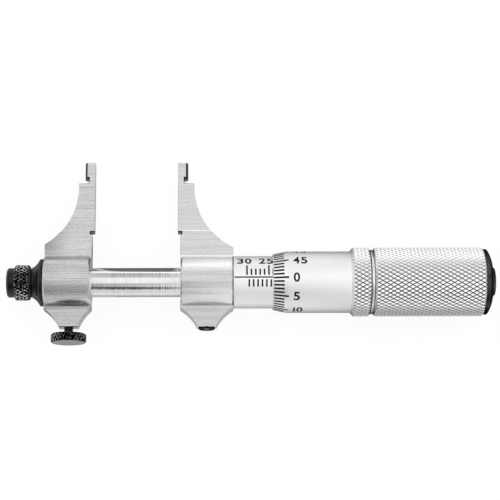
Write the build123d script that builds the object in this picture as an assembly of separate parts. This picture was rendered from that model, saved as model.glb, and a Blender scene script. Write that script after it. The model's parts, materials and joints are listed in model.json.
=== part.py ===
from build123d import *
import os
from math import asin, atan2, degrees, hypot, sqrt

# Readings, the distance over the two measuring contacts in millimetres
reading = 24.0
least_reading = 5.0
greatest_reading = 30.0

# Clearances
running_gap = 0.05
face_gap = 0.1
scale_gap = 0.15
shoe_gap = 0.15
window_gap = 0.15
keyway_end_gap = 1.0

# Measuring tips
tip_height = 28.3
tip_width = 2.4
tip_land = 3.9
tip_relief_height = 1.0
tip_relief_depth = 0.9
contact_radius = 1.56

# Jaw blades
blade_thickness = 2.6
blade_step = 0.6
blade_relief_radius = 0.35
ground_height = 11.7
shoulder_reach = 1.4
shoulder_drop = 1.0
sweep_radius = 16.2
plate_thickness = 3.8
edge_break = 0.15

# Jaw hubs and the pedestals under them
hub_radius = 6.05
hub_setback = 0.15
hub_chamfer = 0.35
hub_fillet = 0.3
fixed_jaw_width = 12.2
moving_jaw_width = 10.8
pedestal_top = 6.4
pedestal_foot = 10.6
pedestal_width = 4.4
pedestal_sweep = 10.0
fixed_pedestal_offset = 6.05
moving_pedestal_offset = 5.1

# Guide tube with its keyway and bushes
tube_radius = 3.36
tube_bore_radius = 2.5
tube_seat_depth = 8.2
keyway_width = 1.5
keyway_depth = 0.5
front_bush_length = 4.0
rear_bush_length = 5.0
thrust_washer_thickness = 0.5
thrust_washer_radius = 3.2

# Spindle
journal_radius = 1.8
thread_radius = 3.5
taper_large_radius = 3.2
taper_small_radius = 2.9
knob_stud_radius = 1.25
knob_stud_length = 4.2
nut_stud_radius = 2.0
nut_stud_length = 5.0

# Barrel with the split nut at its end
barrel_nose_radius = 4.6
barrel_radius = 5.0
barrel_length = 36.3
barrel_relief_gap = 0.25
guide_bore_length = 10.4
nut_length = 12.0
split_width = 0.5
split_count = 3
nut_seat_radius = 4.6
adjusting_nut_radius = 5.9
adjusting_nut_length = 3.3
adjusting_slot_width = 1.2
adjusting_slot_depth = 1.0
adjusting_slot_count = 4

# Graduated sleeve
sleeve_radius = 6.05
spanner_hole_radius = 0.6
spanner_hole_offset = 3.6

# Thimble
thimble_edge_gap = 3.05
thimble_edge_radius = 6.4
thimble_radius = 7.1
thimble_bevel_length = 3.2
thimble_plain_length = 14.6
band_rise_length = 0.7
band_length = 3.7
band_chamfer = 0.3
collar_radius = 7.4
collar_length = 1.0
web_gap = 1.5
web_length = 5.8
nut_pocket_radius = 5.4
nut_pocket_depth = 4.2
clamp_nut_flats = 7.0
clamp_nut_length = 2.6

# Friction sleeve, the long grip that slips on the thimble
grip_radius = 7.95
grip_wall = 1.0
grip_chamfer = 0.35
spring_groove_depth = 0.5
spring_groove_width = 3.0
spring_groove_inset = 1.2
spring_thickness = 0.45
spring_split_angle = 24.0

# End cap and its screw
cap_radius = 7.6
cap_rim_length = 1.0
cap_chamfer = 0.2
cap_dome_rise = 1.1
cap_dome_sagitta = 0.25
cap_face_radius = 3.7
cap_skirt_length = 3.0
cap_skirt_gap = 0.8
cap_skirt_wall = 1.0
cap_post_radius = 2.5
cap_screw_radius = 1.1
cap_screw_depth = 3.4
cap_screw_head_radius = 3.25
cap_screw_head_height = 0.65
cap_screw_slot_width = 0.8
cap_screw_slot_depth = 0.35

# Knob on the spindle's free end, with its thrust washer
knob_flange_radius = 5.45
knob_rim_length = 0.95
knob_rim_bevel = 0.2
knob_flare_length = 2.0
knob_flare_sagitta = 0.25
knob_neck_radius = 3.3
knob_neck_length = 0.25
knob_grip_radius = 4.1
knob_grip_length = 3.4
knob_grip_chamfer = 0.3
knob_nose_radius = 3.4
knob_nose_length = 1.8
knob_nose_chamfer = 0.35
knob_stud_end_gap = 0.4
knob_washer_radius = 3.6
knob_washer_thickness = 0.6

# Guide key and the screw that holds it in the fixed jaw
key_screw_radius = 1.55
key_screw_length = 3.0
key_head_radius = 1.85
key_head_height = 0.45
key_head_chamfer = 0.15
key_pin_radius = 1.1
key_tip_radius = 0.7
key_tip_gap = 0.1
key_pin_recess = 0.15

# Lock screw with its shoe in the moving jaw
shoe_radius = 1.1
shoe_length = 3.2
lock_neck_length = 1.4
lock_head_radius = 4.06
lock_head_length = 2.0
lock_head_chamfer = 0.25

# Places along the spindle, from the fixed jaw's measuring contact
closing_travel = reading - least_reading
opening_travel = greatest_reading - reading
fixed_inner = blade_step - tip_width
fixed_outer = fixed_inner + fixed_jaw_width
fixed_pedestal_x = fixed_inner + fixed_pedestal_offset
moving_inner = -reading - fixed_inner
moving_outer = moving_inner - moving_jaw_width
moving_pedestal_x = moving_inner - moving_pedestal_offset
barrel_start = fixed_inner + hub_setback
barrel_end = fixed_outer + barrel_length
nut_start = barrel_end - nut_length
sleeve_start = fixed_outer + face_gap
sleeve_end = barrel_end - adjusting_nut_length - face_gap
thread_start = nut_start - closing_travel
thread_end = barrel_end + opening_travel
tube_start = moving_inner - tube_seat_depth
tube_end = thread_start - thrust_washer_thickness
knob_face = moving_outer - face_gap
web_start = thread_end + web_gap
web_end = web_start + web_length
thimble_end = web_end + nut_pocket_depth
spindle_end = web_end + nut_stud_length
thimble_start = fixed_outer + opening_travel + thimble_edge_gap
bevel_end = thimble_start + thimble_bevel_length
band_foot = bevel_end + thimble_plain_length
band_start = band_foot + band_rise_length
band_end = band_start + band_length
collar_end = band_end + collar_length
grip_start = collar_end + face_gap
skirt_start = thimble_end + cap_skirt_gap
cap_start = skirt_start + cap_skirt_length
grip_end = cap_start - face_gap
cap_rim_end = cap_start + cap_rim_length
cap_face = cap_rim_end + cap_dome_rise

# Radii that follow a fit
guide_bore_radius = tube_radius + running_gap
nut_bore_radius = thread_radius + running_gap
journal_bore_radius = journal_radius + running_gap
sleeve_bore_radius = barrel_radius + running_gap
thimble_bore_radius = sleeve_radius + scale_gap
grip_bore_radius = grip_radius - grip_wall
thimble_tail_radius = grip_bore_radius - running_gap
shoe_bore_radius = shoe_radius + running_gap

# The instrument lies on its grip, its hubs and its tips, rolled over by this angle
tip_half = blade_thickness / 2
rest_roll = degrees(asin(hub_radius / hypot(tip_height, tip_half)) - atan2(tip_half, tip_height))


def turned(outline):
    """Solid of revolution about the spindle axis, from (along, radius) points."""
    return revolve(make_face(Polyline(*outline, close=True)), Axis.X)


def ring(start, end, inner, outer):
    """Plain ring about the spindle axis."""
    return turned([(start, inner), (end, inner), (end, outer), (start, outer)])


def bar(start, end, radius):
    """Plain bar on the spindle axis."""
    return turned([(start, 0), (end, 0), (end, radius), (start, radius)])


def upright(x, low, high, radius):
    """Bar across the spindle, along the jaws, from low to high."""
    return Pos(x, (low + high) / 2, 0) * Rot(X=90) * Cylinder(radius, high - low)


def box(low, high):
    """Box between two corners."""
    size = [b - a for a, b in zip(low, high)]
    middle = [(a + b) / 2 for a, b in zip(low, high)]
    return Pos(*middle) * Box(*size)


def jaw_outline(width, pedestal_offset):
    """Flat outline of a jaw, its contact on the Y axis and its hub towards +X."""
    inner = blade_step - tip_width
    outer = inner + width
    land_foot = tip_height - tip_land
    shoulder = land_foot - tip_relief_height
    sweep_top = shoulder - shoulder_drop
    across = outer - shoulder_reach
    sweep_foot = sweep_top - sqrt(2 * sweep_radius * across - across**2)
    foot_left = inner + pedestal_offset - pedestal_width / 2
    foot_right = foot_left + pedestal_width
    relief_foot = ground_height - 2 * blade_relief_radius
    blade = Polyline(
        (inner, relief_foot),
        (inner, relief_foot - blade_relief_radius),
        (inner, -pedestal_top),
    )
    relief = ThreePointArc(
        (inner, ground_height),
        (inner + blade_relief_radius, ground_height - blade_relief_radius),
        (inner, relief_foot),
    )
    tip = Polyline(
        (inner, ground_height),
        (-tip_width, ground_height),
        (-tip_width, tip_height),
        (0, tip_height),
        (0, land_foot),
        (-tip_relief_depth, land_foot),
        (-tip_relief_depth, shoulder),
        (shoulder_reach, shoulder),
        (shoulder_reach, sweep_top),
    )
    sweep = RadiusArc((shoulder_reach, sweep_top), (outer, sweep_foot), -sweep_radius)
    side = Line((outer, sweep_foot), (outer, -pedestal_top))
    right = RadiusArc((outer, -pedestal_top), (foot_right, -pedestal_foot), -pedestal_sweep)
    foot = Line((foot_right, -pedestal_foot), (foot_left, -pedestal_foot))
    left = RadiusArc((foot_left, -pedestal_foot), (inner, -pedestal_top), -pedestal_sweep)
    return make_face(blade + relief + tip + sweep + side + right + foot + left)


def contact_rounding():
    """What is ground off a tip, to leave a cylindrical measuring contact."""
    foot = tip_height - tip_land
    block = box((-contact_radius, foot, -tip_half), (0, tip_height, tip_half))
    return block - upright(-contact_radius, foot, tip_height, contact_radius)


def jaw_plate(width, pedestal_offset):
    """Plate of a jaw, with the blade ground thinner on both sides."""
    outline = jaw_outline(width, pedestal_offset)
    plate = extrude(outline, plate_thickness / 2, both=True)
    reach = width + tip_width
    for side in (1, -1):
        low, high = sorted((side * tip_half, side * plate_thickness / 2))
        plate -= box((-reach, ground_height, low), (reach, tip_height, high))
    flats = plate.faces().filter_by(Axis.Z)
    rims = [edge for flat in flats for edge in flat.edges() if not is_ground_step(edge)]
    plate = chamfer(rims, edge_break)
    return plate - contact_rounding()


def is_ground_step(edge):
    """Whether an edge lies across a jaw, where the ground blade begins."""
    ends = [vertex.Y for vertex in edge.vertices()]
    return all(abs(end - ground_height) < edge_break / 2 for end in ends)


def jaw_blank(width, pedestal_offset):
    """A jaw before its bores: a plate through a round hub."""
    start = blade_step - tip_width + hub_setback
    end = blade_step - tip_width + width
    edge = hub_radius - hub_chamfer
    hub = turned(
        [
            (start, 0),
            (end, 0),
            (end, edge),
            (end - hub_chamfer, hub_radius),
            (start + hub_chamfer, hub_radius),
            (start, edge),
        ]
    )
    jaw = jaw_plate(width, pedestal_offset) + hub
    return fillet(jaw.edges().filter_by(is_hub_corner), hub_fillet)


def is_hub_corner(edge):
    """Whether an edge is an inside corner between a jaw's plate and its hub."""
    middle = edge.center()
    on_plate = abs(abs(middle.Z) - plate_thickness / 2) < edge_break / 2
    on_hub = abs(hypot(middle.Y, middle.Z) - hub_radius) < edge_break / 2
    return on_plate and on_hub


def make_fixed_jaw():
    """Fixed jaw, bored for the barrel and drilled for the guide key."""
    jaw = jaw_blank(fixed_jaw_width, fixed_pedestal_offset)
    jaw -= bar(fixed_inner, fixed_outer, barrel_nose_radius)
    return jaw - upright(fixed_pedestal_x, -pedestal_foot, 0, key_screw_radius)


def make_moving_jaw():
    """Moving jaw, bored for the tube, the spindle and the lock screw."""
    blank = mirror(jaw_blank(moving_jaw_width, moving_pedestal_offset), about=Plane.YZ)
    jaw = Pos(-reading, 0, 0) * blank
    jaw -= bar(tube_start, moving_inner, tube_radius)
    jaw -= bar(moving_outer, tube_start, journal_bore_radius)
    jaw -= bar(moving_outer, moving_outer + knob_washer_thickness, knob_washer_radius)
    return jaw - upright(moving_pedestal_x, -pedestal_foot, 0, shoe_bore_radius)


def make_guide_tube():
    """Ground tube fixed in the moving jaw, with a keyway along its underside."""
    tube = ring(tube_start, tube_end, tube_bore_radius, tube_radius)
    way_start = fixed_pedestal_x - closing_travel - key_tip_radius - keyway_end_gap
    way_end = fixed_pedestal_x + opening_travel + key_tip_radius + keyway_end_gap
    floor = -tube_radius + keyway_depth
    half = keyway_width / 2
    tube -= box((way_start, -tube_radius - keyway_depth, -half), (way_end, floor, half))
    return tube - upright(moving_pedestal_x, -tube_radius, 0, shoe_radius + window_gap)


def make_front_bush():
    """Bush in the tube beside the lock shoe."""
    start = moving_pedestal_x + shoe_radius + window_gap + face_gap
    return ring(start, start + front_bush_length, journal_bore_radius, tube_bore_radius)


def make_rear_bush():
    """Bush in the tube's inner end."""
    return ring(tube_end - rear_bush_length, tube_end, journal_bore_radius, tube_bore_radius)


def make_thrust_washer():
    """Washer between the tube's end and the spindle's shoulder."""
    return ring(tube_end, thread_start, journal_bore_radius, thrust_washer_radius)


def make_knob_washer():
    """Washer let into the moving jaw under the knob's flange."""
    end = moving_outer + knob_washer_thickness
    return ring(moving_outer, end, journal_bore_radius, knob_washer_radius)


def make_barrel():
    """Barrel pressed in the fixed jaw, with a split threaded end."""
    guide_end = barrel_start + guide_bore_length
    relief_radius = nut_bore_radius + barrel_relief_gap
    seat_start = barrel_end - adjusting_nut_length
    barrel = turned(
        [
            (barrel_start, guide_bore_radius),
            (guide_end, guide_bore_radius),
            (guide_end, relief_radius),
            (nut_start, relief_radius),
            (nut_start, nut_bore_radius),
            (barrel_end, nut_bore_radius),
            (barrel_end, nut_seat_radius),
            (seat_start, nut_seat_radius),
            (seat_start, barrel_radius),
            (fixed_outer, barrel_radius),
            (fixed_outer, barrel_nose_radius),
            (barrel_start, barrel_nose_radius),
        ]
    )
    half = split_width / 2
    reach = barrel_radius + face_gap
    for index in range(split_count):
        split = box((nut_start, 0, -half), (barrel_end, reach, half))
        barrel -= Rot(X=360 * index / split_count) * split
    return barrel - upright(fixed_pedestal_x, -barrel_nose_radius, 0, key_pin_radius)


def make_adjusting_nut():
    """Slotted nut that closes the barrel's split end on the thread."""
    start = barrel_end - adjusting_nut_length
    nut = ring(start, barrel_end, nut_seat_radius, adjusting_nut_radius)
    half = adjusting_slot_width / 2
    floor = barrel_end - adjusting_slot_depth
    reach = adjusting_nut_radius + face_gap
    for index in range(adjusting_slot_count):
        slot = box((floor, 0, -half), (barrel_end, reach, half))
        nut -= Rot(X=360 * index / adjusting_slot_count) * slot
    return nut


def make_graduated_sleeve():
    """Sleeve with the millimetre scale, turned on the barrel to set the zero."""
    sleeve = ring(sleeve_start, sleeve_end, sleeve_bore_radius, sleeve_radius)
    x = sleeve_start + spanner_hole_offset
    hole = Pos(x, 0, -sleeve_radius / 2) * Cylinder(spanner_hole_radius, sleeve_radius)
    return sleeve - hole


def make_spindle():
    """Spindle, from the knob's stud through the thread to the thimble's seat."""
    spindle = turned(
        [
            (knob_face - knob_stud_length, 0),
            (spindle_end, 0),
            (spindle_end, nut_stud_radius),
            (web_end, nut_stud_radius),
            (web_end, taper_small_radius),
            (web_start, taper_large_radius),
            (thread_end, taper_large_radius),
            (thread_end, thread_radius),
            (thread_start, thread_radius),
            (thread_start, journal_radius),
            (knob_face, journal_radius),
            (knob_face, knob_stud_radius),
            (knob_face - knob_stud_length, knob_stud_radius),
        ]
    )
    return spindle - bar(spindle_end - cap_screw_depth, spindle_end, cap_screw_radius)


def make_thimble():
    """Thimble: a bevelled edge, a plain length, a raised band and a tail."""
    thimble = turned(
        [
            (thimble_start, thimble_bore_radius),
            (web_start, thimble_bore_radius),
            (web_start, taper_large_radius),
            (web_end, taper_small_radius),
            (web_end, nut_pocket_radius),
            (thimble_end, nut_pocket_radius),
            (thimble_end, thimble_tail_radius),
            (collar_end, thimble_tail_radius),
            (collar_end, collar_radius),
            (band_end, collar_radius),
            (band_end, grip_radius - band_chamfer),
            (band_end - band_chamfer, grip_radius),
            (band_start, grip_radius),
            (band_foot, thimble_radius),
            (bevel_end, thimble_radius),
            (thimble_start, thimble_edge_radius),
        ]
    )
    groove_start = web_start + spring_groove_inset
    groove_end = groove_start + spring_groove_width
    floor = thimble_tail_radius - spring_groove_depth
    return thimble - ring(groove_start, groove_end, floor, thimble_tail_radius)


def make_clamp_nut():
    """Hexagon nut that draws the thimble on to the spindle's taper."""
    flats = RegularPolygon(clamp_nut_flats / 2, 6, major_radius=False)
    blank = extrude(Plane.YZ.offset(web_end) * flats, clamp_nut_length)
    return blank - bar(web_end, web_end + clamp_nut_length, nut_stud_radius)


def make_friction_spring():
    """Split ring in the thimble's groove, which rubs in the friction sleeve."""
    start = web_start + spring_groove_inset + face_gap
    end = start + spring_groove_width - 2 * face_gap
    outer = thimble_tail_radius
    blank = ring(start, end, outer - spring_thickness, outer)
    split = Pos((start + end) / 2, 0, 0) * Rot(Y=90) * split_sector(end - start)
    return blank - split


def split_sector(length):
    """Wedge that opens a ring over the spring's split angle."""
    arc = CenterArc((0, 0), grip_radius, -spring_split_angle / 2, spring_split_angle)
    first = Line((0, 0), arc @ 0)
    second = Line(arc @ 1, (0, 0))
    return extrude(make_face(first + arc + second), length / 2, both=True)


def make_friction_sleeve():
    """Long grip that turns the thimble through the friction spring."""
    edge = grip_radius - grip_chamfer
    return turned(
        [
            (grip_start, grip_bore_radius),
            (grip_end, grip_bore_radius),
            (grip_end, edge),
            (grip_end - grip_chamfer, grip_radius),
            (grip_start + grip_chamfer, grip_radius),
            (grip_start, edge),
        ]
    )


def make_end_cap():
    """Domed cap with a skirt in the friction sleeve and a post on the spindle."""
    skirt_radius = grip_bore_radius - face_gap
    edge = cap_radius - cap_chamfer
    outline = Polyline(
        (cap_face, cap_screw_radius),
        (spindle_end, cap_screw_radius),
        (spindle_end, cap_post_radius),
        (cap_start, cap_post_radius),
        (cap_start, skirt_radius - cap_skirt_wall),
        (skirt_start, skirt_radius - cap_skirt_wall),
        (skirt_start, skirt_radius),
        (cap_start, skirt_radius),
        (cap_start, cap_radius),
        (cap_rim_end - cap_chamfer, cap_radius),
        (cap_rim_end, edge),
    )
    dome = SagittaArc((cap_rim_end, edge), (cap_face, cap_face_radius), cap_dome_sagitta)
    face = Line((cap_face, cap_face_radius), (cap_face, cap_screw_radius))
    return revolve(make_face(outline + dome + face), Axis.X)


def make_cap_screw():
    """Slotted screw that holds the end cap to the spindle."""
    head_end = cap_face + cap_screw_head_height
    screw = bar(spindle_end - cap_screw_depth, cap_face, cap_screw_radius)
    screw += bar(cap_face, head_end, cap_screw_head_radius)
    half = cap_screw_slot_width / 2
    reach = cap_screw_head_radius + face_gap
    floor = head_end - cap_screw_slot_depth
    return screw - box((floor, -reach, -half), (head_end, reach, half))


def make_knob():
    """Knob on the spindle's free end: flange, flared neck, grip and nose."""
    rim_end = knob_face - knob_rim_length
    flare_end = rim_end - knob_flare_length
    grip_edge = flare_end - knob_neck_length
    nose_start = grip_edge - knob_grip_length
    nose_end = nose_start - knob_nose_length
    low_grip = knob_grip_radius - knob_grip_chamfer
    low_rim = knob_flange_radius - knob_rim_bevel
    head = Polyline(
        (flare_end, knob_neck_radius),
        (grip_edge, knob_neck_radius),
        (grip_edge, low_grip),
        (grip_edge - knob_grip_chamfer, knob_grip_radius),
        (nose_start + knob_grip_chamfer, knob_grip_radius),
        (nose_start, low_grip),
        (nose_start, knob_nose_radius),
        (nose_end + knob_nose_chamfer, knob_nose_radius),
        (nose_end, knob_nose_radius - knob_nose_chamfer),
        (nose_end, 0),
        (knob_face, 0),
        (knob_face, low_rim),
        (knob_face - knob_rim_bevel, knob_flange_radius),
        (rim_end + knob_rim_bevel, knob_flange_radius),
        (rim_end, low_rim),
    )
    flare = SagittaArc((rim_end, low_rim), (flare_end, knob_neck_radius), knob_flare_sagitta)
    knob = revolve(make_face(head + flare), Axis.X)
    depth = knob_stud_length + knob_stud_end_gap
    return knob - bar(knob_face - depth, knob_face, knob_stud_radius)


def make_key_screw():
    """Hollow screw in the fixed jaw's pedestal, round the guide key."""
    top = key_screw_length - pedestal_foot
    foot = -pedestal_foot - key_head_height
    screw = upright(fixed_pedestal_x, -pedestal_foot, top, key_screw_radius)
    head = upright(fixed_pedestal_x, foot, -pedestal_foot, key_head_radius)
    head = chamfer(head.edges().group_by(Axis.Y)[0], key_head_chamfer)
    return screw + head - upright(fixed_pedestal_x, foot, top, key_pin_radius)


def make_guide_key():
    """Pin whose tip runs in the tube's keyway."""
    foot = -pedestal_foot - key_head_height + key_pin_recess
    waist = -tube_radius - running_gap
    tip = -tube_radius + keyway_depth - key_tip_gap
    pin = upright(fixed_pedestal_x, foot, waist, key_pin_radius)
    return pin + upright(fixed_pedestal_x, waist, tip, key_tip_radius)


def make_lock_shoe():
    """Shoe that the lock screw presses on the spindle."""
    top = -journal_radius - shoe_gap
    return upright(moving_pedestal_x, top - shoe_length, top, shoe_radius)


def make_lock_screw():
    """Thumb screw under the moving jaw."""
    top = -journal_radius - shoe_gap - shoe_length
    head_top = -pedestal_foot - lock_neck_length
    head_foot = head_top - lock_head_length
    edge = lock_head_radius - lock_head_chamfer
    outline = Polyline(
        (0, head_foot),
        (0, top),
        (shoe_radius, top),
        (shoe_radius, head_top),
        (edge, head_top),
        (lock_head_radius, head_top - lock_head_chamfer),
        (lock_head_radius, head_foot + lock_head_chamfer),
        (edge, head_foot),
        close=True,
    )
    return Pos(moving_pedestal_x, 0, 0) * revolve(make_face(outline), Axis.Y)


pieces = {
    "fixed_jaw": make_fixed_jaw(),
    "guide_key": make_guide_key(),
    "key_screw": make_key_screw(),
    "barrel": make_barrel(),
    "adjusting_nut": make_adjusting_nut(),
    "graduated_sleeve": make_graduated_sleeve(),
    "moving_jaw": make_moving_jaw(),
    "guide_tube": make_guide_tube(),
    "front_bush": make_front_bush(),
    "rear_bush": make_rear_bush(),
    "knob_washer": make_knob_washer(),
    "spindle": make_spindle(),
    "thrust_washer": make_thrust_washer(),
    "knob": make_knob(),
    "thimble": make_thimble(),
    "clamp_nut": make_clamp_nut(),
    "friction_spring": make_friction_spring(),
    "end_cap": make_end_cap(),
    "cap_screw": make_cap_screw(),
    "friction_sleeve": make_friction_sleeve(),
    "lock_shoe": make_lock_shoe(),
    "lock_screw": make_lock_screw(),
}

# The origin is on the surface that the instrument lies on, in the middle of its footprint
rolled = {node: Rot(X=-rest_roll) * piece for node, piece in pieces.items()}
extent = Compound(children=[piece.solid() for piece in rolled.values()]).bounding_box()
middle = extent.center()
placing = Pos(-middle.X, -middle.Y, -extent.min.Z)

os.makedirs("parts", exist_ok=True)
for node, piece in rolled.items():
    export_step((placing * piece).solid(), f"parts/{node}.step")
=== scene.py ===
import json
from math import atan2, cos, hypot, pi, radians, sin

import bmesh
import bpy
from mathutils import Matrix, Vector


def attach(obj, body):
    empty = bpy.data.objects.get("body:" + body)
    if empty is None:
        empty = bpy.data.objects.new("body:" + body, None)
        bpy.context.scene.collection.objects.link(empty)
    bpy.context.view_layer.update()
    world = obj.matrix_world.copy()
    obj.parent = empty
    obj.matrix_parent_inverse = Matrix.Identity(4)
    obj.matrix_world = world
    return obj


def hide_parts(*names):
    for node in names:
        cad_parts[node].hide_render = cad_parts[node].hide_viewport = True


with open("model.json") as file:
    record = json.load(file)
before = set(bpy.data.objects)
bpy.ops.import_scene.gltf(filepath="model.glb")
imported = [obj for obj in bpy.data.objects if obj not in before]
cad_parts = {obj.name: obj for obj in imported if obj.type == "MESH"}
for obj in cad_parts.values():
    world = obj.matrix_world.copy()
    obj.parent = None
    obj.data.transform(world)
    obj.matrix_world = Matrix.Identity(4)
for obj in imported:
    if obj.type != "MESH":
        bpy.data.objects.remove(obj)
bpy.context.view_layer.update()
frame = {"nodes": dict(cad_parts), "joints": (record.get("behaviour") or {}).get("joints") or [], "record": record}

# Units, and tolerances in millimetres
mm = 0.001
degrees_round = 360
tiny = 0.0005
cut_tolerance = 0.00005

# Places along the spindle, in millimetres from the fixed jaw's measuring contact
sleeve_start = 10.5
mark_of_30 = 13.45
thimble_start = 19.45
bevel_end = 22.65
band_foot = 37.25
band_start = 37.95
band_end = 41.65
collar_start = 41.93
collar_stop = 42.43
collar_end = 42.65
grip_start = 42.75
web_start = 54.2
groove_start = 55.4
groove_end = 58.4
web_end = 60.0
thimble_end = 64.2
grip_end = 67.9
knob_face = -33.1
rim_end = -34.05
flare_end = -36.05
knob_grip_start = -36.3
knob_grip_end = -39.7
nose_end = -41.5
knob_bore_end = -37.7
lock_screw_place = -27.3

# Radii, in millimetres
sleeve_radius = 6.05
thimble_edge_radius = 6.4
thimble_radius = 7.1
thimble_bore = 6.2
collar_radius = 7.4
collar_groove_radius = 7.0
grip_radius = 7.95
grip_bore = 6.95
tail_radius = 6.9
groove_radius = 6.4
pocket_radius = 5.4
taper_large = 3.2
taper_small = 2.9
knob_flange_radius = 5.45
knob_neck_radius = 3.3
knob_grip_radius = 4.1
knob_nose_radius = 3.4
knob_bore = 1.25
lock_head_radius = 4.06
lock_shank_radius = 1.1

# Corners, in millimetres
corner_break = 0.06
grip_chamfer = 0.35
band_chamfer = 0.3
knob_grip_chamfer = 0.3
nose_chamfer = 0.35
flange_bevel = 0.2
flare_sagitta = 0.25
flare_steps = 10
collar_steps = 8
most_of_a_side = 1 / 3
lock_head_chamfer = 0.25
sharp_corner = radians(7)

# The lock screw along its own axis, in millimetres below the spindle
lock_shank_end = 5.15
lock_thread_end = 9.3
lock_head_start = 12.0
lock_head_end = 14.0
lock_centre_radius = 0.4
lock_centre_depth = 0.35

# Knurls and thread, in millimetres
grip_knurl = {"Around": 51, "Pitch": 1.71, "Depth": 0.22, "Flat": 0.5}
knob_knurl = {"Around": 30, "Pitch": 1.5, "Depth": 0.2, "Flat": 0.55}
lock_knurl = {"Around": 30, "Pitch": 1.5, "Depth": 0.2, "Flat": 0.55}
spare_columns = 2
lock_thread = {"Pitch": 0.45, "Depth": 0.2}
rows_a_turn = 6

# Which of a piece's materials a face has
knurl_face = 0
plain_face = 1
trim_face = 2
# Groove faces painted with shade
painted_shade_face = 3

# Marks of the scales, in millimetres
reading = 24.0
least_reading = 5
most_reading = 30
readings_a_number = 5
mark_width = 0.38
mark_rise = 0.012
mark_sink = 0.012
mark_gap = 0.5
short_mark = 1.56
long_mark = 2.5
half_mark = 1.7
half_step = 0.5
mark_points = 10
index_width = 0.32
index_inset = 0.1
index_length = 29.5
divisions = 50
divisions_a_number = 5
division_width = 0.45
division_inset = 0.12
short_division = 2.38
long_division = 3.4
zero_angle = -1.9

# Numbers of the scales, in millimetres
figure_gap = 0.3
slice_height = 0.25
sleeve_figure = (1.5, 2.06)
sleeve_number_rise = 4.5
sleeve_number_shift = 0.6
thimble_figure = (1.46, 2.2)
thimble_number_place = 24.0
type_depth = 0.5
type_weight = 0.025
type_smoothness = 6

# Camera, in millimetres and degrees
camera_place = (-9.355, -18.35, 374.77)
camera_tilt = 12.667
camera_yaw = 1.405
camera_roll = 0.1
camera_near = 0.01
lens = 114.48
sensor = 36.0

# Key lamp, in metres and watts
key_place = (0, 0.2, 0.75)
key_target = (0, 0, 0)
key_size = (1.4, 0.56)
key_power = 0.95


def span(place, low, high, blend):
    """Two ramps that keep a zone between two limits."""
    return (place, low, low + blend, 0.0, 1.0), (place, high, high + blend, 1.0, 0.0)


# Zones of the jaws' steel. Each is a product of ramps, and a ramp takes a place from one pair of
# limits to another. Across is from the middle between the contacts towards the thimble, out is
# the same either way, up is from the spindle towards the tips, all in millimetres. Share is how
# far a point is along its own jaw, and facing how squarely it faces the reader.
contact = reading / 2
moving_hub = (-21.5, -11.3)
fixed_hub = (10.2, 22.2)
by_sleeve = ("across", -5.0, 5.0, 0.0, 1.0)
by_knob = ("across", -5.0, 5.0, 1.0, 0.0)
# Painted shade: the contact strips, the relief notches at the tips and the small reliefs at the blades' step are
# painted near black, for their shadow and the dark they mirror.
painted_black_zones = [
    (*span("out", contact - 0.58, contact + 1.0, 0.06), *span("up", 24.9, 28.5, 0.06)),
    (*span("out", contact - 1.1, contact + 1.0, 0.06), *span("up", 23.5, 24.9, 0.06)),
    (*span("out", contact - 3.0, contact - 1.35, 0.06), *span("up", 10.9, 11.95, 0.06)),
]
# Painted shade: the pedestals' faces, the moving jaw's outer part, a band under the hubs and a thin band below the
# spindle line are darkened.
painted_shade_zones = [
    (("facing", 0.6, 0.9, 0.0, 1.0), ("up", -6.2, -5.0, 0.14, 0.0)),
    (("across", -21.5, -15.0, 0.5, 0.0), ("up", 4.8, 8.0, 0.2, 1.0)),
    (("across", -10.0, 10.0, 0.34, 0.08), *span("up", -6.9, -5.2, 0.4)),
    (("share", 0.0, 1.0, 0.2, 0.0), *span("up", -2.6, -1.0, 0.5)),
]
# Painted highlight: the fixed hub's upper part, both hubs' lower parts and the fixed jaw's ground step are
# lightened.
painted_highlight_zones = [
    (by_sleeve, ("up", 1.2, 2.6, 0.0, 1.0), ("up", 5.95, 6.15, 1.0, 0.0)),
    (by_sleeve, *span("up", 11.7, 12.1, 0.12)),
    (by_sleeve, ("share", 0.0, 0.9, 0.2, 0.8), *span("up", -5.6, -2.8, 0.5)),
    (by_knob, ("share", 0.15, 0.5, 0.1, 0.9), *span("up", -5.5, -4.8, 0.35)),
]

# The floor: how it glows and how the object shades its glow, and zones like the jaws' of painted light and painted
# shade in the glow that the steel mirrors.
# X and Y are in millimetres, and past is how far a point is beyond the painted shade strip by the tube.
floor_reach = 4.0
floor_white = 1.05
floor_lift = 0.85
mirrored_lift = 0.96
shadow_reach = 0.05
shadow_depth = 5.0
shadow_lean = (0.0, 0.75, 0.66)
strip_half_width = (1.0, 3.0, 9.8, 8.3)
floor_light_zone = (("x", -47.5, -46.5, 0.0, 0.55), ("x", 0.0, 24.0, 1.0, 0.0))
floor_dark_zones = [
    (("x", 24.0, 28.0, 0.0, 0.55), ("x", 60.0, 66.0, 1.0, 0.0)),
    (("past", 0.0, 0.5, 1.0, 0.0), ("y", -8.0, -4.0, 0.0, 0.78)),
]

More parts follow.
